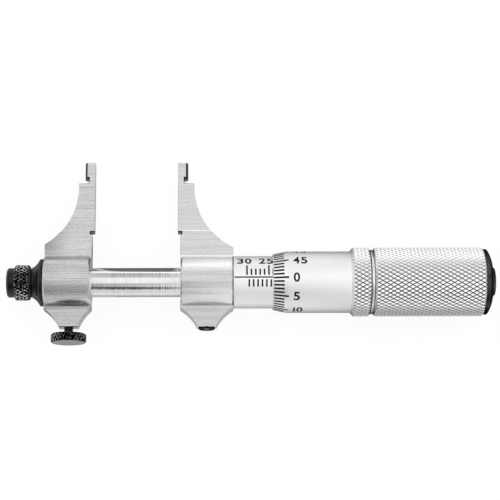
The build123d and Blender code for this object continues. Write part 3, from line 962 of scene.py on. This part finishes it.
def grown(tree, values):
    """The plain mesh that a tree makes from its named inputs."""
    holder = in_scene(tree.name, bpy.data.meshes.new(tree.name))
    modifier = holder.modifiers.new("growth", "NODES")
    modifier.node_group = tree
    for item in tree.interface.items_tree:
        if item.item_type == "SOCKET" and item.in_out == "INPUT" and item.name in values:
            modifier[item.identifier] = values[item.name]
    mesh = evaluated(holder)
    holder.modifiers.remove(modifier)
    bpy.data.objects.remove(holder)
    return mesh


# Turned pieces


def angle_of(vertex):
    """Where a point lies round the axis."""
    return atan2(vertex.co.y, vertex.co.z)


def reach_of(vertex):
    """How far a point is from the axis."""
    return hypot(vertex.co.y, vertex.co.z)


def round_axis(x, angle, radius):
    """A place at an angle round the axis, counted from the reading face."""
    return x, radius * sin(angle), radius * cos(angle)


def rim(work, x):
    """The open rim of a shell at a place along its axis, in order of angle."""
    edge = [vertex for vertex in work.verts if vertex.is_boundary and abs(vertex.co.x - x) < tiny]
    return sorted(edge, key=angle_of)


def join_rings(work, first, second, finish):
    """A band of faces between two rings of as many points."""
    if not first or len(first) != len(second):
        raise ValueError(f"rings of {len(first)} and {len(second)} points")
    for index in range(len(first)):
        after = (index + 1) % len(first)
        face = work.faces.new((first[index], first[after], second[after], second[index]))
        face.material_index = finish


def close_ring(work, ring, x, finish):
    """A fan of faces from a ring to a point on the axis."""
    centre = work.verts.new((x, 0, 0))
    for index in range(len(ring)):
        face = work.faces.new((ring[index], ring[(index + 1) % len(ring)], centre))
        face.material_index = finish


def turn_outline(work, ring, outline, finish):
    """Turns an outline of places and radii on from a ring, and closes it where it meets the axis."""
    for x, radius in outline:
        if radius < tiny:
            close_ring(work, ring, x, finish)
            return None
        after = [work.verts.new(round_axis(x, angle_of(vertex), radius)) for vertex in ring]
        join_rings(work, ring, after, finish)
        ring = after
    return ring


def eased(outline, reach):
    """An outline whose inner corners are each cut back a little."""
    points = [Vector(point) for point in outline]
    result = [points[0]]
    for before, corner, after in zip(points, points[1:], points[2:]):
        for end in (before, after):
            side = end - corner
            result.append(corner + side * min(reach / side.length, most_of_a_side))
    return result + [points[-1]]


def curved(start, end, sagitta, steps):
    """Points on a shallow arc between two places, bulging by a sagitta."""
    first, last = Vector(start), Vector(end)
    chord = last - first
    aside = Vector((-chord.y, chord.x)).normalized()
    for step in range(1, steps + 1):
        part = step / steps
        yield first + chord * part + aside * sagitta * 4 * part * (1 - part)


def chamfered(start, end, radius, chamfer):
    """The outline of a round band with a chamfer at both its ends."""
    edge = radius - chamfer
    return [(start, edge), (start + chamfer, radius), (end - chamfer, radius), (end, edge)]


def limit_at(limits, x):
    """The largest radius that an outline allows at a place."""
    for (x0, r0), (x1, r1) in zip(limits, limits[1:]):
        if x0 <= x <= x1:
            return r0 + (r1 - r0) * (x - x0) / (x1 - x0)
    return limits[0][1] if x < limits[0][0] else limits[-1][1]


def cut(work, place, normal, **clear):
    """Cuts a mesh along a plane."""
    whole = work.verts[:] + work.edges[:] + work.faces[:]
    inputs = {"geom": whole, "dist": cut_tolerance, "plane_co": place, "plane_no": normal}
    bmesh.ops.bisect_plane(work, **inputs, **clear)


def knurled(limits, size, radius, material):
    """A knurled shell between two places, held under an outline of limits."""
    start, end = limits[0][0], limits[-1][0]
    columns = int((end - start) / size["Pitch"]) + spare_columns
    values = {"Columns": columns, "Middle": (start + end) / 2, "Radius": radius, "Material": material}
    work = bmesh.new()
    work.from_mesh(grown(knurl_tree, size | values))
    for index, (x, _) in enumerate(limits):
        last = index == len(limits) - 1
        cut(work, (x, 0, 0), (1, 0, 0), clear_inner=index == 0, clear_outer=last)
    for vertex in work.verts:
        most, now = limit_at(limits, vertex.co.x), reach_of(vertex)
        if now > most:
            vertex.co.y *= most / now
            vertex.co.z *= most / now
    for face in work.faces:
        face.material_index = knurl_face
    return work


def finish_piece(name, work, place, materials, body, replaced=()):
    """A piece from its mesh, closed, put in place and set on its body."""
    bmesh.ops.recalc_face_normals(work, faces=work.faces)
    for face in work.faces:
        face.smooth = True
    for edge in work.edges:
        edge.smooth = len(edge.link_faces) == 2 and edge.calc_face_angle() < sharp_corner
    mesh = bpy.data.meshes.new(name)
    for material in materials:
        mesh.materials.append(material)
    work.to_mesh(mesh)
    work.free()
    mesh.transform(place)
    piece = in_scene(name, mesh)
    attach(piece, body)
    if replaced:
        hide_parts(*replaced)


def make_friction_sleeve():
    """The long grip, knurled from end to end."""
    limits = chamfered(grip_start, grip_end, grip_radius, grip_chamfer)
    work = knurled(limits, grip_knurl, grip_radius, knurled_chrome)
    near, far = rim(work, grip_start), rim(work, grip_end)
    last = turn_outline(work, near, [(grip_start, grip_bore), (grip_end, grip_bore)], plain_face)
    join_rings(work, last, far, plain_face)
    materials = [knurled_chrome, polished_collar]
    replaced = ["friction_sleeve"]
    finish_piece("friction_sleeve_knurled", work, on_spindle, materials, "grip", replaced)


def add_collar(work, ring, far):
    """The thimble's bright collar, between two fine grooves painted with shade."""
    groove = collar_groove_radius
    ring = turn_outline(work, ring, [(collar_end, groove), (collar_stop, groove)], painted_shade_face)
    ends = (collar_stop, collar_radius), (collar_start, collar_radius)
    collar = [ends[0], *curved(*ends, -corner_break, collar_steps)]
    ring = turn_outline(work, ring, collar, trim_face)
    ring = turn_outline(work, ring, [(collar_start, groove), (band_end, groove)], painted_shade_face)
    join_rings(work, ring, far, painted_shade_face)


def make_thimble():
    """The thimble, with a knurled band and a bright collar."""
    root = grip_radius - grip_knurl["Depth"]
    rise = (grip_radius - thimble_radius) / (band_start - band_foot)
    low = band_foot + (root - thimble_radius) / rise
    limits = [
        (low, root),
        (band_start, grip_radius),
        (band_end - band_chamfer, grip_radius),
        (band_end, grip_radius - band_chamfer),
    ]
    work = knurled(limits, grip_knurl, grip_radius, knurled_chrome)
    near, far = rim(work, low), rim(work, band_end)
    front = [
        (band_foot, thimble_radius),
        (bevel_end, thimble_radius),
        (thimble_start, thimble_edge_radius),
        (thimble_start, thimble_bore),
        (web_start, thimble_bore),
        (web_start, taper_large),
        (web_end, taper_small),
        (web_end, pocket_radius),
        (thimble_end, pocket_radius),
        (thimble_end, tail_radius),
        (groove_end, tail_radius),
        (groove_end, groove_radius),
        (groove_start, groove_radius),
        (groove_start, tail_radius),
        (collar_end, tail_radius),
    ]
    ring = turn_outline(work, near, eased(front, corner_break), plain_face)
    add_collar(work, ring, far)
    materials = [knurled_chrome, satin_chrome, polished_collar, groove_painted_shade]
    replaced = ["thimble"]
    finish_piece("thimble_knurled", work, on_spindle, materials, "spindle_group", replaced)


def make_knob():
    """The knob, with a nose, a knurled ring and a flared flange."""
    limits = chamfered(knob_grip_end, knob_grip_start, knob_grip_radius, knob_grip_chamfer)
    work = knurled(limits, knob_knurl, knob_grip_radius, black_knurl)
    near, far = rim(work, knob_grip_end), rim(work, knob_grip_start)
    nose = [
        (knob_grip_end, knob_nose_radius),
        (nose_end + nose_chamfer, knob_nose_radius),
        (nose_end, knob_nose_radius - nose_chamfer),
        (nose_end, 0),
    ]
    turn_outline(work, near, nose, plain_face)
    low_rim = knob_flange_radius - flange_bevel
    flange = [
        (knob_grip_start, knob_neck_radius),
        (flare_end, knob_neck_radius),
        *curved((flare_end, knob_neck_radius), (rim_end, low_rim), -flare_sagitta, flare_steps),
        (rim_end + flange_bevel, knob_flange_radius),
        (knob_face - flange_bevel, knob_flange_radius),
        (knob_face, low_rim),
        (knob_face, knob_bore),
        (knob_bore_end, knob_bore),
        (knob_bore_end, 0),
    ]
    turn_outline(work, far, flange, plain_face)
    materials = [black_knurl, black_oxide]
    finish_piece("knob_knurled", work, on_spindle, materials, "spindle_group", ["knob"])


def add_thread(work, around):
    """The lock screw's thread, from where it leaves the jaw to its head."""
    length = lock_head_start - lock_thread_end
    values = {
        "Start": lock_thread_end,
        "Length": length,
        "Rows": int(length / lock_thread["Pitch"] * rows_a_turn) + 1,
        "Around": around,
        "Radius": lock_shank_radius,
        "Material": black_oxide,
    }
    thread = grown(thread_tree, lock_thread | values)
    for polygon in thread.polygons:
        polygon.material_index = plain_face
    work.from_mesh(thread)


def make_lock_screw():
    """The thumb screw, with its thread, knurled head and faced end."""
    limits = chamfered(lock_head_start, lock_head_end, lock_head_radius, lock_head_chamfer)
    work = knurled(limits, lock_knurl, lock_head_radius, lock_head_shaded_knurl)
    near, far = rim(work, lock_head_start), rim(work, lock_head_end)
    end_face = [(lock_head_end, lock_centre_radius), (lock_head_end - lock_centre_depth, 0)]
    turn_outline(work, far, end_face, trim_face)
    add_thread(work, len(near))
    root = [vertex for vertex in rim(work, lock_head_start) if reach_of(vertex) < lock_shank_radius + tiny]
    join_rings(work, near, root, plain_face)
    shank = [(lock_shank_end, lock_shank_radius - lock_thread["Depth"]), (lock_shank_end, 0)]
    turn_outline(work, rim(work, lock_thread_end), shank, plain_face)
    place, materials = on_lock_screw, [lock_head_shaded_knurl, black_oxide, worn_end]
    replaced = ["lock_screw"]
    finish_piece("lock_screw_knurled", work, place, materials, "lock_screw_body", replaced)


make_friction_sleeve()
make_thimble()
make_knob()
make_lock_screw()


# Scales


def make_marks(name, body, rows):
    """Rows of marks as one piece."""
    shared = {"Width": mark_width, "Rise": mark_rise, "Sink": mark_sink, "Material": mark_fill}
    work = bmesh.new()
    for values in rows:
        work.from_mesh(grown(mark_tree, shared | values))
    finish_piece(name, work, on_spindle, [mark_fill], body)


def make_sleeve_marks():
    """The index line, the millimetres above it and the half millimetres below it."""
    steps = most_reading - least_reading
    plain = {"Radius": sleeve_radius, "Edge Radius": sleeve_radius}
    upper = {
        "Count": steps + 1,
        "First": mark_of_30,
        "Long Every": readings_a_number,
        "Near": mark_gap,
        "Short": short_mark,
        "Long": long_mark,
    }
    lower = {
        "Count": steps,
        "First": mark_of_30 + half_step,
        "Near": -mark_gap,
        "Short": -half_mark,
        "Long": -half_mark,
    }
    index_line = {
        "Count": 1,
        "Around": 1,
        "Width": index_width,
        "Near": sleeve_start + index_inset,
        "Short": index_length,
        "Long": index_length,
    }
    make_marks("sleeve_marks", "scale_sleeve", [plain | upper, plain | lower, plain | index_line])


def make_thimble_marks():
    """The divisions round the thimble's bevelled edge."""
    values = {
        "Count": divisions,
        "Width": division_width,
        "First": radians(zero_angle) * thimble_radius,
        "Step": 2 * pi * thimble_radius / divisions,
        "Long Every": divisions_a_number,
        "Near": thimble_start + division_inset,
        "Short": short_division,
        "Long": long_division,
        "Around": 1,
        "Radius": thimble_radius,
        "Edge Radius": thimble_edge_radius,
        "Bevel Start": thimble_start,
        "Bevel Length": bevel_end - thimble_start,
    }
    make_marks("thimble_marks", "spindle_group", [values])


def flat_number(text):
    """A number as a flat, closed mesh, one unit to the height of its type."""
    type_curve = bpy.data.curves.new("number", "FONT")
    type_curve.body = text
    type_curve.extrude = type_depth
    type_curve.offset = type_weight
    type_curve.resolution_u = type_smoothness
    holder = in_scene("number", type_curve)
    mesh = evaluated(holder)
    bpy.data.objects.remove(holder)
    return mesh


def extents(mesh):
    """The least and most of a flat mesh across and up."""
    across = [vertex.co.x for vertex in mesh.vertices]
    up = [vertex.co.y for vertex in mesh.vertices]
    return min(across), max(across), min(up), max(up)


nought = extents(flat_number("0"))


def fitted_figure(figure, width, height):
    """One figure at its size, and how wide it is: a 1 keeps the scale of a nought."""
    mesh = flat_number(figure)
    left, right, _, _ = extents(mesh)
    least, most, foot, head = nought
    across = width / (most - least) if figure == "1" else width / (right - left)
    up = height / (head - foot)
    middle = (foot + head) / 2
    part = bmesh.new()
    part.from_mesh(mesh)
    bmesh.ops.remove_doubles(part, verts=part.verts, dist=cut_tolerance)
    for vertex in part.verts:
        rise = mark_rise if vertex.co.z > 0 else -mark_sink
        vertex.co = ((vertex.co.x - left) * across, (vertex.co.y - middle) * up, rise)
    return part, (right - left) * across


def add_figure(work, figure, left, angle, radius, width, height):
    """Wraps one figure round a cylinder, and returns how wide it is."""
    part, wide = fitted_figure(figure, width, height)
    slices = int(height / slice_height)
    for index in range(-slices // 2, slices // 2 + 1):
        cut(part, (0, index * slice_height + slice_height / 2, 0), (0, 1, 0))
    for vertex in part.verts:
        turn = angle + vertex.co.y / radius
        vertex.co = round_axis(left + vertex.co.x, turn, radius + vertex.co.z)
    mesh = bpy.data.meshes.new("figure")
    part.to_mesh(mesh)
    part.free()
    work.from_mesh(mesh)
    return wide


def add_number(work, text, x, angle, radius, size):
    """Sets a number figure by figure from a place along the spindle."""
    for figure in text:
        x += add_figure(work, figure, x, angle, radius, *size) + figure_gap


def make_sleeve_numbers():
    """The numbers of the millimetre scale, from 30 down to 5."""
    work = bmesh.new()
    for value in range(most_reading, least_reading - 1, -readings_a_number):
        text = str(value)
        width = sleeve_figure[0] * len(text) + figure_gap * (len(text) - 1)
        x = mark_of_30 + most_reading - value - sleeve_number_shift - width / 2
        add_number(work, text, x, sleeve_number_rise / sleeve_radius, sleeve_radius, sleeve_figure)
    finish_piece("sleeve_numbers", work, on_spindle, [mark_fill], "scale_sleeve")


def make_thimble_numbers():
    """The numbers round the thimble, at every fifth division."""
    work = bmesh.new()
    for value in range(0, divisions, divisions_a_number):
        angle = radians(zero_angle - degrees_round * value / divisions)
        add_number(work, str(value), thimble_number_place, angle, thimble_radius, thimble_figure)
    finish_piece("thimble_numbers", work, on_spindle, [mark_fill], "spindle_group")


make_sleeve_marks()
make_thimble_marks()
make_sleeve_numbers()
make_thimble_numbers()


# Studio


def floor_places(tree):
    """Where a point of the floor lies, in millimetres."""
    place = axes(tree, own_place(tree))
    x = maths(tree, "DIVIDE", place[0], mm)
    y = maths(tree, "DIVIDE", place[1], mm)
    from_middle = maths(tree, "ABSOLUTE", maths(tree, "SUBTRACT", x, between_contacts / mm))
    half_width = spread(tree, y, *strip_half_width)
    return {"x": x, "y": y, "past": maths(tree, "SUBTRACT", from_middle, half_width)}


def floor_level(tree, camera_ray):
    """How bright the floor glows: white to the camera, and shaded in what mirrors it."""
    places = floor_places(tree)
    inputs = {"Distance": shadow_reach, "Normal": shadow_lean}
    # Painted shadow and light in the glow: AO darkens it near the object, a zone under the jaws lightens it, zones
    # by the grip and the tube darken it.
    near = add(tree, "ShaderNodeAmbientOcclusion", inputs, samples=8).outputs["AO"]
    open_floor = maths(tree, "POWER", near, shadow_depth)
    lit = maths(tree, "MAXIMUM", zone_mask(tree, places, floor_light_zone), open_floor)
    kept = maths(tree, "SUBTRACT", 1.0, zones_mask(tree, places, floor_dark_zones))
    shade = maths(tree, "MULTIPLY", lit, kept)
    return maths(tree, "MAXIMUM", shade, maths(tree, "MULTIPLY", camera_ray, floor_white))


def make_floor_paper():
    """White paper that glows to the camera and in mirrors, so that only its shadows show."""
    look = floor_look
    material, tree, shader = new_material("pale_floor", *look["plain"])
    shader.inputs["Specular IOR Level"].default_value = 0.0
    paint(tree, shader, blend_colours(tree, grain_mask(tree, look["grain"]), *look["colours"]))
    path = add(tree, "ShaderNodeLightPath").outputs
    camera_ray = path["Is Camera Ray"]
    mirrored = maths(tree, "MAXIMUM", path["Is Glossy Ray"], path["Is Transmission Ray"])
    inputs = {"Color": (1, 1, 1, 1), "Strength": floor_level(tree, camera_ray)}
    glow = add(tree, "ShaderNodeEmission", inputs).outputs[0]
    looked_at = maths(tree, "MULTIPLY", camera_ray, floor_lift)
    share = maths(tree, "MAXIMUM", looked_at, maths(tree, "MULTIPLY", mirrored, mirrored_lift))
    mix = add(tree, "ShaderNodeMixShader", {0: share, 1: shader.outputs[0], 2: glow})
    output = next(node for node in tree.nodes if node.type == "OUTPUT_MATERIAL")
    tree.links.new(mix.outputs[0], output.inputs["Surface"])
    return material


def make_floor():
    """A plain pale floor, white where it is seen, which keeps the object's shadow."""
    mesh = bpy.data.meshes.new("floor")
    reach = floor_reach
    corners = [(-reach, -reach, 0), (reach, -reach, 0), (reach, reach, 0), (-reach, reach, 0)]
    mesh.from_pydata(corners, [], [(0, 1, 2, 3)])
    mesh.materials.append(make_floor_paper())
    floor = in_scene("floor", mesh)


def make_bands(tree, turned, levels):
    """Bands of light across the spindle."""
    ramp = add(tree, "ShaderNodeValToRGB", {0: turned})
    elements = ramp.color_ramp.elements
    elements.remove(elements[-1])
    for index, (angle, level) in enumerate(levels):
        position = angle / degrees_round + 0.5
        entry = elements[0] if index == 0 else elements.new(position)
        entry.position = position
        share = level / studio_peak
        entry.color = (share, share, share, 1)
    return ramp.outputs[0]


def make_world():
    """Soft studio light in long bands, laid along the spindle."""
    world = bpy.data.worlds.new("studio")
    bpy.context.scene.world = world
    world.use_nodes = True
    tree = world.node_tree
    tree.nodes.clear()
    x, y, z = axes(tree, add(tree, "ShaderNodeTexCoord").outputs["Generated"])
    turned = spread(tree, maths(tree, "ARCTAN2", y, z), -pi, pi, 0.0, 1.0)
    places = {"x": x, "out": maths(tree, "ABSOLUTE", x)}
    light = make_bands(tree, turned, studio[0][0])
    for levels, ramps in studio[1:]:
        mask = zone_mask(tree, places, ramps)
        light = blend_colours(tree, mask, light, make_bands(tree, turned, levels))
    background = add(tree, "ShaderNodeBackground", {"Color": light, "Strength": studio_peak})
    output = add(tree, "ShaderNodeOutputWorld")
    tree.links.new(background.outputs[0], output.inputs[0])


def make_lamp(name, place, target, size, power):
    """A soft box that looks at a point."""
    data = bpy.data.lights.new(name, "AREA")
    data.shape = "RECTANGLE"
    data.size, data.size_y = size
    data.energy = power
    lamp = in_scene(name, data)
    lamp.location = place
    lamp.rotation_euler = (Vector(target) - Vector(place)).to_track_quat("-Z", "Y").to_euler()


def make_camera():
    """The photograph's viewpoint."""
    data = bpy.data.cameras.new("camera")
    data.lens = lens
    data.sensor_width = sensor
    data.clip_start = camera_near
    tilt, yaw = radians(camera_tilt), radians(camera_yaw)
    ahead = towards_tips * sin(tilt) - reading_face * cos(tilt)
    up = towards_tips * cos(tilt) + reading_face * sin(tilt)
    ahead = ahead * cos(yaw) + along * sin(yaw)
    right = ahead.cross(up)
    roll = Matrix.Rotation(radians(camera_roll), 3, ahead)
    right, up = roll @ right, roll @ up
    turn = Matrix((right, up, -ahead)).transposed().to_4x4()
    camera = in_scene("camera", data)
    camera.matrix_world = Matrix.Translation(Vector(camera_place) * mm) @ turn
    bpy.context.scene.camera = camera


make_floor()
make_world()
make_lamp("key", key_place, key_target, key_size, key_power)
make_camera()
bpy.context.scene.view_settings.view_transform = "Standard"
